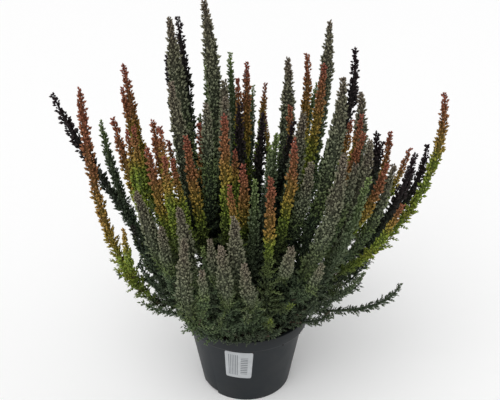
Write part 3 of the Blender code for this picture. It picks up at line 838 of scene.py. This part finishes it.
# The leafy cover. Every rod is clad with fine scale leaves, and its upper half with tight pointed
# buds that never open: a closed cover of small shapes set in a spiral, each leaning outwards.
# Low down, short side sprigs of a few leaves stand out from the rod instead.
GOLDEN_ANGLE = math.radians(137.508)
ROD_STEP = 5.0
ROD_SIDES = 6
SEAT_DEPTH = 0.92
SEAT_STRAY = 0.5
SMALLEST = 0.6
HEADING_STRAY = (-0.8, 0.8)
LEAN_STRAY = (-0.4, 0.5)
SIZE_STRAY = (0.55, 1.4)
SHADES = (0.0, 1.0)

# The shapes are a unit long, so the sizes in them are shares of a bud's, leaf's or sprig's
# length. A sprig is a thin core with pairs of small folded leaves, each pair across the last.
BUD_THICK = 0.33
BUD_SIDES = 3
BUD_WAIST = 0.52
LEAF_WIDTH = 0.42
LEAF_WAIST = 0.42
LEAF_HOOK = 0.06
FOLD = 0.3
SPRIG_CORE = 0.07
SPRIG_WAIST = 0.4
SPRIG_HOOK = 0.05
SPRIG_PAIRS = 6
FIRST_PAIR = 0.08
PAIR_STEP = 0.135
PAIR_OUT = 0.2
PAIR_SHRINK = 0.014
PAIR_RISE = 0.2
PAIR_WIDTH = 0.13


def spindle(shape, tip, thick, sides, waist):
    """Add a closed spindle from the origin to its tip, thickest at its waist."""
    tip = Vector(tip)
    turn = tip.to_track_quat("Z", "X")
    first = shape.verts.new((0.0, 0.0, 0.0))
    last = shape.verts.new(tip)
    ring = []
    for side in range(sides):
        angle = math.tau * side / sides
        spoke = Vector((math.cos(angle) * thick, math.sin(angle) * thick, waist * tip.length))
        ring.append(shape.verts.new(turn @ spoke))
    for side in range(sides):
        after = (side + 1) % sides
        shape.faces.new((first, ring[after], ring[side]))
        shape.faces.new((last, ring[side], ring[after]))


def folded_leaf(shape, root, tip, width):
    """Add a leaf folded along its middle: a closed shape of four corners."""
    root, tip = Vector(root), Vector(tip)
    turn = (tip - root).to_track_quat("Z", "X")
    length = (tip - root).length
    corners = [shape.verts.new(root), shape.verts.new(tip)]
    for side in (-0.5, 0.5):
        edge = Vector((side * width, FOLD * width, LEAF_WAIST * length))
        corners.append(shape.verts.new(root + turn @ edge))
    for left_out in corners:
        shape.faces.new([corner for corner in corners if corner is not left_out])


def clad_shape(name, shape):
    """An object of this shape, a unit long, that knows how near its tip each point is."""
    bmesh.ops.recalc_face_normals(shape, faces=shape.faces)
    mesh = mesh_of(name, shape)
    tipward = mesh.attributes.new("tipward", "FLOAT", "POINT")
    tipward.data.foreach_set("value", [max(0.0, min(1.0, v.co.z)) for v in mesh.vertices])
    mesh.shade_smooth()
    return in_scene(name, mesh)


bud_shape = bmesh.new()
spindle(bud_shape, (0.0, 0.0, 1.0), BUD_THICK, BUD_SIDES, BUD_WAIST)
bud = clad_shape("bud", bud_shape)
leaf_shape = bmesh.new()
folded_leaf(leaf_shape, (0.0, 0.0, 0.0), (LEAF_HOOK, 0.0, 1.0), LEAF_WIDTH)
scale_leaf = clad_shape("scale leaf", leaf_shape)
sprig_shape = bmesh.new()
spindle(sprig_shape, (SPRIG_HOOK, 0.0, 1.0), SPRIG_CORE, BUD_SIDES, SPRIG_WAIST)
for number in range(SPRIG_PAIRS):
    low = FIRST_PAIR + PAIR_STEP * number
    out = PAIR_OUT - PAIR_SHRINK * number
    turn = Matrix.Rotation(math.radians(90.0 * number), 3, "Z")
    for side in (-out, out):
        root = turn @ Vector((0.0, 0.0, low))
        tip = turn @ Vector((side, 0.0, low + PAIR_RISE))
        folded_leaf(sprig_shape, root, tip, PAIR_WIDTH)
sprig = clad_shape("sprig", sprig_shape)

# One spiral of shapes up a path. Each shape sits on the rod's skin, a golden angle on from the
# last, leans outwards, and strays a little in its place, heading, lean and size.
spiral, given, result = new_tree("spiral of shapes", {
    "Shape": "Object", "Length": "String", "Spacing": "Float", "Lean": "Float", "Seed": "Int",
})
seats = add_node(
    spiral, "GeometryNodeCurveToPoints",
    {"Curve": given["Geometry"], "Length": given["Spacing"]}, mode="LENGTH",
)
index = add_node(spiral, "GeometryNodeInputIndex").outputs["Index"]
steady = add_node(spiral, "ShaderNodeMath", {0: index, 1: GOLDEN_ANGLE}, operation="MULTIPLY")
heading_stray, lean_stray, size_stray, shade = (
    add_node(spiral, "FunctionNodeRandomValue", {2: low, 3: high, "Seed": seed})
    for (low, high), seed in (
        (HEADING_STRAY, given["Seed"]), (LEAN_STRAY, 11), (SIZE_STRAY, 23), (SHADES, 37),
    )
)
heading = add_node(spiral, "ShaderNodeMath", {0: steady, 1: heading_stray}, operation="ADD")
spin = add_node(
    spiral, "FunctionNodeAxisAngleToRotation", {"Axis": (0.0, 0.0, 1.0), "Angle": heading}
)
facing = add_node(
    spiral, "FunctionNodeRotateRotation",
    {"Rotation": seats.outputs["Rotation"], "Rotate By": spin},
    rotation_space="LOCAL",
)
rod = add_node(spiral, "GeometryNodeInputNamedAttribute", {"Name": "rod"}, data_type="FLOAT")
sunk = add_node(spiral, "ShaderNodeMath", {0: rod, 1: SEAT_DEPTH}, operation="MULTIPLY")
spoke = add_node(spiral, "ShaderNodeCombineXYZ", {"X": sunk})
outward = add_node(spiral, "FunctionNodeRotateVector", {"Vector": spoke, "Rotation": facing})
nudge = add_node(
    spiral, "FunctionNodeRandomValue",
    {0: (-SEAT_STRAY * MM,) * 3, 1: (SEAT_STRAY * MM,) * 3, "Seed": 51},
    data_type="FLOAT_VECTOR",
)
nudged = add_node(spiral, "ShaderNodeVectorMath", {0: outward, 1: nudge}, operation="ADD")
seated = add_node(spiral, "GeometryNodeSetPosition", {"Geometry": seats, "Offset": nudged})
lean = add_node(spiral, "ShaderNodeMath", {0: given["Lean"], 1: lean_stray}, operation="ADD")
tip_over = add_node(
    spiral, "FunctionNodeAxisAngleToRotation", {"Axis": (0.0, 1.0, 0.0), "Angle": lean}
)
leaning = add_node(
    spiral, "FunctionNodeRotateRotation",
    {"Rotation": facing, "Rotate By": tip_over},
    rotation_space="LOCAL",
)
length = add_node(
    spiral, "GeometryNodeInputNamedAttribute", {"Name": given["Length"]}, data_type="FLOAT"
)
grows = add_node(
    spiral, "FunctionNodeCompare", {"A": length, "B": SMALLEST * MM}, operation="GREATER_THAN"
)
size = add_node(spiral, "ShaderNodeMath", {0: length, 1: size_stray}, operation="MULTIPLY")
shape_in = add_node(spiral, "GeometryNodeObjectInfo", {"Object": given["Shape"]})
set_out = add_node(spiral, "GeometryNodeInstanceOnPoints", {
    "Points": seated, "Selection": grows, "Instance": shape_in.outputs["Geometry"],
    "Rotation": leaning, "Scale": size,
})
shaded = add_node(
    spiral, "GeometryNodeStoreNamedAttribute",
    {"Geometry": set_out, "Name": "shade", "Value": shade},
    data_type="FLOAT", domain="INSTANCE",
)
whole = add_node(spiral, "GeometryNodeRealizeInstances", {"Geometry": shaded})
set_inputs(spiral, result, {"Geometry": whole})

# A whole leafy stem from its shoots' paths: three spirals, of buds, leaves and sprigs, on rods
# that are leaf-coloured where leaves cover them and bark below.
LEAF_LEAN = math.radians(38.0)
SPRIG_LEAN = math.radians(48.0)
leafy, given, result = new_tree("leafy stem", {
    "Bud": "Object", "Leaf": "Object", "Sprig": "Object", "Bud spacing": "Float",
    "Leaf spacing": "Float", "Sprig spacing": "Float", "Bud lean": "Float", "Seed": "Int",
    "Foliage": "Material", "Wood": "Material",
})
shoot_lines = add_node(leafy, "GeometryNodeMeshToCurve", {"Mesh": given["Geometry"]})
path = add_node(
    leafy, "GeometryNodeCurveSplineType", {"Curve": shoot_lines}, spline_type="CATMULL_ROM"
)
covers = []
for seed, (shape_name, lean_angle) in enumerate(
    (("Bud", given["Bud lean"]), ("Leaf", LEAF_LEAN), ("Sprig", SPRIG_LEAN)), 1
):
    drawn = add_node(leafy, "ShaderNodeMath", {0: given["Seed"], 1: float(seed)}, operation="ADD")
    cover = add_node(leafy, "GeometryNodeGroup", {
        "Geometry": path, "Shape": given[shape_name], "Lean": lean_angle,
        "Length": f"{shape_name.lower()}_length", "Spacing": given[f"{shape_name} spacing"],
        "Seed": drawn,
    }, node_tree=spiral)
    covers.append(cover)
leaves = add_node(leafy, "GeometryNodeJoinGeometry", {"Geometry": covers})
dressed = add_node(leafy, "GeometryNodeSetMaterial", {
    "Geometry": leaves, "Material": given["Foliage"],
})
stepped = add_node(
    leafy, "GeometryNodeResampleCurve", {"Curve": path, "Length": ROD_STEP * MM}, mode="LENGTH"
)
thickness = add_node(leafy, "GeometryNodeInputNamedAttribute", {"Name": "rod"}, data_type="FLOAT")
hoop = add_node(leafy, "GeometryNodeCurvePrimitiveCircle", {"Resolution": ROD_SIDES, "Radius": 1.0})
rods = add_node(leafy, "GeometryNodeCurveToMesh", {
    "Curve": stepped, "Profile Curve": hoop, "Scale": thickness, "Fill Caps": True,
})
smooth_rods = add_node(leafy, "GeometryNodeSetShadeSmooth", {"Geometry": rods})
clothed = add_node(leafy, "GeometryNodeSetMaterial", {
    "Geometry": smooth_rods, "Material": given["Foliage"],
})
cover = add_node(leafy, "GeometryNodeInputNamedAttribute", {"Name": "cover"}, data_type="FLOAT")
bare = add_node(leafy, "FunctionNodeCompare", {"A": cover, "B": 0.5}, operation="LESS_THAN")
barked = add_node(leafy, "GeometryNodeSetMaterial", {
    "Geometry": clothed, "Selection": bare, "Material": given["Wood"],
})
whole = add_node(leafy, "GeometryNodeJoinGeometry", {"Geometry": [barked, dressed]})
set_inputs(leafy, result, {"Geometry": whole})

# What sets each kind apart: its name; a bud's length, its lean in degrees and the height where
# buds begin; the spacing of buds, leaves and sprigs up the rod; and how much a tip is slimmed.
# Its colours run from a spike's tip down to its leafy foot: "face" on the buds, and the fold colour
# between them, which is partly their own darker colour and partly painted shade. They run over
# "span" of a shoot's length, sooner below the height "fresh", and a tall spike reaches only "foot"
# of them. "pale" is how bleached the outermost tips are.
KINDS = {
    "grey": {
        "name": "grey bud heather", "bud": 4.0, "lean": 38.0, "bud_foot": 155.0,
        "spacing": (0.2, 0.6, 1.75), "slim": 0.25,
        "face": [
            (0.0, "#877c6c"), (0.12, "#84816b"), (0.5, "#788065"), (0.82, "#728450"),
            (1.0, "#677a5c"),
        ],
        "shaded_fold": [(0.0, "#332c26"), (0.4, "#282d21"), (1.0, "#20281f")],
        "span": (0.45, 0.7), "fresh": 195.0, "foot": 0.9, "pale": 0.4,
    },
    "ember": {
        "name": "ember bud heather", "bud": 4.1, "lean": 38.0, "bud_foot": 150.0,
        "spacing": (0.34, 0.75, 1.75), "slim": 0.0,
        "face": [
            (0.0, "#995a4b"), (0.25, "#9b6a49"), (0.55, "#ad9144"), (0.75, "#8a9c3e"),
            (1.0, "#66744f"),
        ],
        "shaded_fold": [(0.0, "#562e22"), (0.4, "#50421b"), (0.72, "#3c481c"), (1.0, "#20281d")],
        "span": (0.27, 0.42), "fresh": 245.0, "foot": 0.75, "pale": 0.1,
    },
    "dark": {
        "name": "dark bud heather", "bud": 4.7, "lean": 44.0, "bud_foot": 150.0,
        "spacing": (0.42, 0.75, 1.75), "slim": 0.1,
        "face": [(0.0, "#34262b"), (0.4, "#302c2a"), (0.75, "#455240"), (1.0, "#5a6850")],
        "shaded_fold": [(0.0, "#181114"), (0.4, "#171613"), (1.0, "#20281f")],
        "span": (0.35, 0.55), "fresh": 235.0, "foot": 0.9, "pale": 0.12,
    },
    "green": {
        "name": "green bud heather", "bud": 4.0, "lean": 38.0, "bud_foot": 160.0,
        "spacing": (0.38, 0.75, 1.75), "slim": 0.1,
        "face": [(0.0, "#849658"), (0.25, "#6a7758"), (1.0, "#5d6a53")],
        "shaded_fold": [(0.0, "#34431f"), (0.4, "#2a351f"), (1.0, "#20281f")],
        "span": (0.3, 0.7), "fresh": 200.0, "foot": 0.9, "pale": 0.3,
    },
}
# The far left spike's red reaches lower than on its neighbours, and the far right one's less low.
# Each has its own share of its length as "span", and its own height as "fresh".
OWN_SPAN_AND_FRESH = {"stem_ember_01": (0.62, 185.0), "stem_ember_18": (0.24, 300.0)}

# Young heather wood, warm brown and dull, its fine bark mottled every two millimetres or so.
BARK_SIZE = 2.0
young_wood, tree, shader = new_material("young heather wood")
woody = mottled(tree, BARK_SIZE, 4.0, [(0.3, "#3a2a20"), (0.7, "#5b4636")])
set_inputs(tree, shader, {"Base Color": woody, "Roughness": 0.85})

# Buds and scale leaves: dry, papery and without gloss. Each is lighter towards its tip, no two
# are quite alike, and a grain as wide as a leaf breaks up what lies between them. The colour
# drifts a little over a finger's width, and the heart of the plant is darkened with painted shade.
DRIFT_SIZE = 16.7
DRIFT = 0.36
GRAIN_SIZE = 1.25
GRAIN = 2.0
GRAIN_MIDDLE = -0.75
PAINTED_HEART_SHADE = -0.9
TIP_LIGHT = 0.6
OWN_LIGHT = 0.35
FACE_SHOWS = (0.2, 1.1)
BLEACHED = (1.1, 1.5)
BLEACHED_COLOUR = linear("#958e7d")
foliage = {}
for kind, look in KINDS.items():
    foliage[kind], tree, shader = new_material(look["name"])
    downward, own_shade, tipward, heart = (
        add_node(tree, "ShaderNodeAttribute", attribute_name=name).outputs["Fac"]
        for name in ("downward", "shade", "tipward", "heart")
    )
    place = add_node(tree, "ShaderNodeTexCoord").outputs["Object"]
    drift = add_node(
        tree, "ShaderNodeTexNoise",
        {"Vector": place, "Scale": per_metre(DRIFT_SIZE), "Detail": 3.0},
    )
    drifted = add_node(
        tree, "ShaderNodeMath", {0: drift, 1: DRIFT, 2: downward}, operation="MULTIPLY_ADD"
    )
    along = add_node(tree, "ShaderNodeMath", {0: drifted, 1: DRIFT / 2.0}, operation="SUBTRACT")
    face = add_node(tree, "ShaderNodeValToRGB", {"Fac": along}, stops=look["face"])
    shaded_fold = add_node(tree, "ShaderNodeValToRGB", {"Fac": along}, stops=look["shaded_fold"])
    grain = add_node(
        tree, "ShaderNodeTexNoise",
        {"Vector": place, "Scale": per_metre(GRAIN_SIZE), "Detail": 1.0},
    )
    light = add_node(
        tree, "ShaderNodeMath", {0: grain, 1: GRAIN, 2: GRAIN_MIDDLE}, operation="MULTIPLY_ADD"
    )
    # The heart of the plant gets painted shade, and what stands outside it a little painted light.
    for part, share in ((heart, PAINTED_HEART_SHADE), (tipward, TIP_LIGHT), (own_shade, OWN_LIGHT)):
        light = add_node(
            tree, "ShaderNodeMath", {0: part, 1: share, 2: light}, operation="MULTIPLY_ADD"
        )
    shown = add_node(
        tree, "ShaderNodeMapRange",
        {"Value": light, "From Min": FACE_SHOWS[0], "From Max": FACE_SHOWS[1]},
    )
    # The fold colour shows where the lightness is low, at bud bases, on rods and in the heart:
    # partly their own darker colour and partly painted shade.
    colours = add_node(
        tree, "ShaderNodeMix", {"Factor": shown, 6: shaded_fold, 7: face}, data_type="RGBA"
    )
    bleached = add_node(tree, "ShaderNodeMapRange", {
        "Value": light, "From Min": BLEACHED[0], "From Max": BLEACHED[1], "To Max": look["pale"],
    })
    paled = add_node(
        tree, "ShaderNodeMix",
        {"Factor": bleached, 6: colours, 7: BLEACHED_COLOUR},
        data_type="RGBA",
    )
    set_inputs(tree, shader, {"Base Color": paled, "Roughness": 0.7, "Specular IOR Level": 0.12})

# How the cover changes along a shoot. Leaves begin past its bare foot, and it narrows at its tip.
# The leafy rod is as thick as the reach leaves room for, under buds that stand on it.
LEAF_START = (-4.0, 12.0)
TIP_ZONE = 40.0
SHORT_SHOOT = 150.0
SHORT_GIRTH = 0.86
SHORT_SLIM = 0.1
COVERED = 0.3
COVER_IN_ROD = 0.65
LEAF_SHARE = 1.35
# Only shoots this high bear buds. Leaves and sprigs give way to buds over this much height, and
# the rod is thinner where there are none.
BUDDING_TIP = 160.0
BUD_FADE = 55.0
BUDS_BELOW_MIDDLE = 20.0
UNBUDDED_ROD = 0.45
LEAVES_END = 0.9
SPRIGS_END = 0.95
# Sprigs are shorter on low shoots, near a tip and among the buds, and longer in the heart.
SPRIG_LENGTH = 12.0
LOW_TIP = 170.0
LOW_SPRIG = 0.55
HEART_SPRIG = 0.5
BUDDED_SPRIG = 0.7
SPRIG_NEAR_TIP = (-8.0, 22.0)
ROD_NEAR_TIP = (-3.0, 17.0)
# The heart is what stands nearer the middle than this, and it widens with height. Its foliage is
# darkened with painted shade. What stands outside it counts a little below nothing, and so is
# lighter, a little painted light.
HEART_RADIUS = (45.0, 85.0)
HEART_FLARE = 0.45
HEART_BASE = 110.0
HEART_EDGE = 40.0
HEART_TOP = (245.0, 185.0)
OUTSIDE_HEART = -0.15
# Low down, and well within the plant's edge, a tall spike's colours run on to its darker leafy
# green, partly its own colour and partly painted shade. A low shoot's tip is a little younger than
# its foot.
FRESH_FADE = 65.0
SHADED_HEIGHT = (225.0, 165.0)
SHADED_RADIUS = (118.0, 88.0)
YOUNG_TIP = 18.0
YOUNG_SHARE = 0.25


def fade(value, start, end):
    """From 0 at the start to 1 at the end, and flat beyond them."""
    return np.clip((value - start) / (end - start), 0.0, 1.0)


def cover_along(shoot, path, span, fresh):
    """What the leafy stem's tree and material read, at each point of a shoot's path."""
    kind = shoot["kind"]
    look = KINDS[kind]
    along = lengths(path)
    total = along[-1]
    to_tip = total - along
    height = path[:, 2]
    outward = np.hypot(path[:, 0], path[:, 1])
    bare = shoot["bare"]
    tip_height = height[-1]
    is_low = tip_height < LOW_TIP
    is_short = total < SHORT_SHOOT

    reach = leaf_reach(kind, along, total, 0.0)
    reach = reach * fade(along, bare + LEAF_START[0], bare + LEAF_START[1])
    reach = reach * (SHORT_GIRTH if is_short else 1.0)
    slimmed = SHORT_SLIM if is_short else look["slim"]
    reach = reach * (1.0 - slimmed * fade(to_tip, TIP_ZONE, 0.0))
    covered = reach > COVERED

    heart_radius = HEART_RADIUS[0] + (height - HEART_BASE) * HEART_FLARE
    heart_radius = np.clip(heart_radius, *HEART_RADIUS)
    heart = np.clip((heart_radius - outward) / HEART_EDGE, OUTSIDE_HEART, 1.0)
    heart = heart * fade(height, *HEART_TOP)
    deep_in = np.maximum(heart, 0.0)

    bud_foot = min(look["bud_foot"], 0.5 * (SOIL_TOP + tip_height) - BUDS_BELOW_MIDDLE)
    bears_buds = tip_height > BUDDING_TIP
    budding = fade(height, bud_foot, bud_foot + BUD_FADE) * bears_buds
    sprig_fade = fade(height - BUD_FADE * deep_in, bud_foot, bud_foot + BUD_FADE) * bears_buds

    length = look["bud"] * (0.5 + 0.5 * reach / REACH[kind]) * covered
    wood = FOOT_RADIUS if shoot["parent"] is None else BRANCH_RADIUS
    leafy_rod = (reach - COVER_IN_ROD * length) * (UNBUDDED_ROD + (1.0 - UNBUDDED_ROD) * budding)
    sprig_length = SPRIG_LENGTH * (LOW_SPRIG if is_low else 1.0 + HEART_SPRIG * deep_in)
    sprig_length = sprig_length * fade(to_tip, *SPRIG_NEAR_TIP) * (1.0 - BUDDED_SPRIG * sprig_fade)

    downward = np.clip(np.maximum(to_tip / span, (fresh - height) / FRESH_FADE), 0.0, 1.0)
    # Darker green low down and within the plant's edge: partly the foot's own colour, partly
    # painted shade.
    shaded = fade(height, *SHADED_HEIGHT) * fade(outward, *SHADED_RADIUS)
    if is_low:
        lowest = 1.0 - YOUNG_SHARE * fade(to_tip, YOUNG_TIP, 0.0)
    else:
        lowest = look["foot"] + (1.0 - look["foot"]) * shaded
    return {
        "rod": np.maximum(leafy_rod, wood * fade(to_tip, *ROD_NEAR_TIP)) * MM,
        "bud_length": length * budding * MM,
        "leaf_length": length * LEAF_SHARE * (budding < LEAVES_END) * MM,
        "sprig_length": sprig_length * covered * (sprig_fade < SPRIGS_END) * MM,
        "downward": downward * lowest,
        "heart": heart,
        "cover": fade(along, bare, bare + LEAF_START[1]),
    }


# Each stem is grown from its own shoots as one piece, which stands for its solid.
shoots = lay_out()
make_room(shoots)
chance = random.Random(21)
for kind, look in KINDS.items():
    for name in sorted({s["name"] for s in shoots if s["kind"] == kind}):
        points, edges, values = [], [], {}
        for shoot in (s for s in shoots if s["name"] == name):
            path = evenly(shoot["path"], STEP)
            span = lengths(path)[-1] * chance.uniform(*look["span"])
            fresh = look["fresh"]
            if name in OWN_SPAN_AND_FRESH and shoot["parent"] is None:
                share, fresh = OWN_SPAN_AND_FRESH[name]
                span = lengths(path)[-1] * share
            first = len(points)
            points += [tuple(point * MM) for point in path]
            edges += [(first + n, first + n + 1) for n in range(len(path) - 1)]
            for key, numbers in cover_along(shoot, path, span, fresh).items():
                values.setdefault(key, []).extend(numbers)
        mesh = bpy.data.meshes.new(name)
        mesh.from_pydata(points, edges, [])
        for key, numbers in values.items():
            mesh.attributes.new(key, "FLOAT", "POINT").data.foreach_set("value", numbers)
        bud_step, leaf_step, sprig_step = look["spacing"]
        made = grown_mesh(f"leafy_{name}", mesh, leafy, {
            "Bud": bud, "Leaf": scale_leaf, "Sprig": sprig, "Bud spacing": bud_step * MM,
            "Leaf spacing": leaf_step * MM, "Sprig spacing": sprig_step * MM,
            "Bud lean": math.radians(look["lean"]), "Seed": chance.randrange(1000),
            "Foliage": foliage[kind], "Wood": young_wood,
        })
        new_piece(made.name, made, foliage[kind], f"foliage_{kind}", name)
for item in (bud, scale_leaf, sprig):
    bpy.data.objects.remove(item)

# The studio. A plain pale floor that runs out past the view, soft light from all round, and one
# large light above the front. The camera looks down on the plant as a buyer does.
FLOOR_HALF_WIDTH = 40.0
ROOM_STRENGTH = 0.62
OVERHEAD_STRENGTH = 1.75
OVERHEAD_SPREAD = math.radians(70.0)
OVERHEAD_DIRECTION = (0.25, 0.75, -0.9)
CAMERA_PLACE = (0.004, -0.575, 0.466)
CAMERA_DOWN = math.radians(24.3)
CAMERA_LENS = 46.8
floor_shape = bmesh.new()
bmesh.ops.create_grid(floor_shape, x_segments=1, y_segments=1, size=FLOOR_HALF_WIDTH)
floor = in_scene("floor", mesh_of("floor", floor_shape))
pale_card, tree, shader = new_material("pale studio card")
set_inputs(tree, shader, {"Base Color": linear("#fbfbfb"), "Roughness": 0.9})
floor.data.materials.append(pale_card)

room = bpy.data.worlds.new("soft white room")
bpy.context.scene.world = room
room.use_nodes = True
background = room.node_tree.nodes["Background"]
set_inputs(room.node_tree, background, {"Color": linear("#ffffff"), "Strength": ROOM_STRENGTH})

lamp = bpy.data.lights.new("overhead", "SUN")
lamp.angle = OVERHEAD_SPREAD
lamp.energy = OVERHEAD_STRENGTH
overhead = in_scene("overhead", lamp)
overhead.rotation_euler = Vector(OVERHEAD_DIRECTION).to_track_quat("-Z", "Y").to_euler()

view = bpy.data.cameras.new("front")
view.lens = CAMERA_LENS
view.sensor_width = 36.0
camera = in_scene("front", view)
camera.location = CAMERA_PLACE
camera.rotation_euler = (math.radians(90.0) - CAMERA_DOWN, 0.0, 0.0)
bpy.context.scene.camera = camera
bpy.context.scene.view_settings.view_transform = "Standard"
